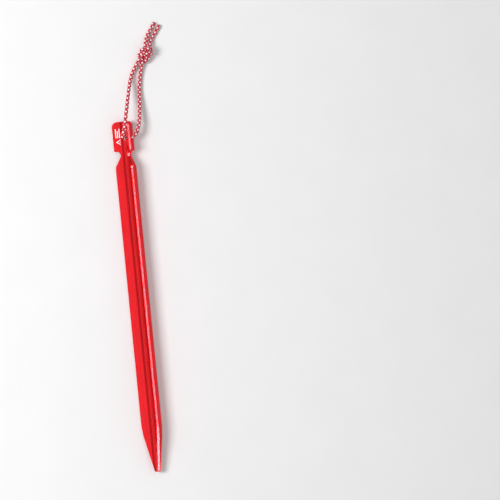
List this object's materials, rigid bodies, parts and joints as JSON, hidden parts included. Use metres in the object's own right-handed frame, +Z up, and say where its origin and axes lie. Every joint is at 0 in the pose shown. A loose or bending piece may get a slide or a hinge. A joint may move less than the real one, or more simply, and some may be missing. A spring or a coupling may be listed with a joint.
{
  "type": "tent stake",
  "caption": "Three-flanged aluminium tent stake with notched head, cut point and a knotted pull loop of thin braided cord through a hole in one flange.",
  "frame": {"origin": "on the surface the stake lies on, under the middle of the beam's length and width", "axes": "+Y from the point to the head, +Z up out of the surface, +X to the right seen from the point; the flange with the cord hole stands along +Z"},
  "size_m": [0.0341, 0.2443, 0.0127],
  "materials": {
    "anodised_beam": "bright red anodised extrusion",
    "loop_cord": "braided polyester with reflective white tracer",
    "melted_cord": "heat-sealed cord end"
  },
  "bodies": {
    "stake": {"left_flange_head": "anodised_beam", "left_flange_neck": "anodised_beam", "left_flange_shank": "anodised_beam", "upright_flange_head": "anodised_beam", "upright_flange_neck": "anodised_beam", "upright_flange_shank": "anodised_beam", "right_flange_head": "anodised_beam", "right_flange_neck": "anodised_beam", "right_flange_shank": "anodised_beam"},
    "pull_loop": {"loop_left_leg": "loop_cord", "loop_right_leg": "loop_cord", "loop_knot": "loop_cord", "left_tail": "loop_cord", "right_tail": "loop_cord", "left_sealed_end": "melted_cord", "right_sealed_end": "melted_cord"}
  },
  "joints": [
    {"name": "loop_swing", "type": "hinge", "parent": "stake", "child": "pull_loop", "pos_m": [0, 0.08585, 0.00742], "axis": [1, 0, 0], "range_deg": [0, 140]}
  ]
}
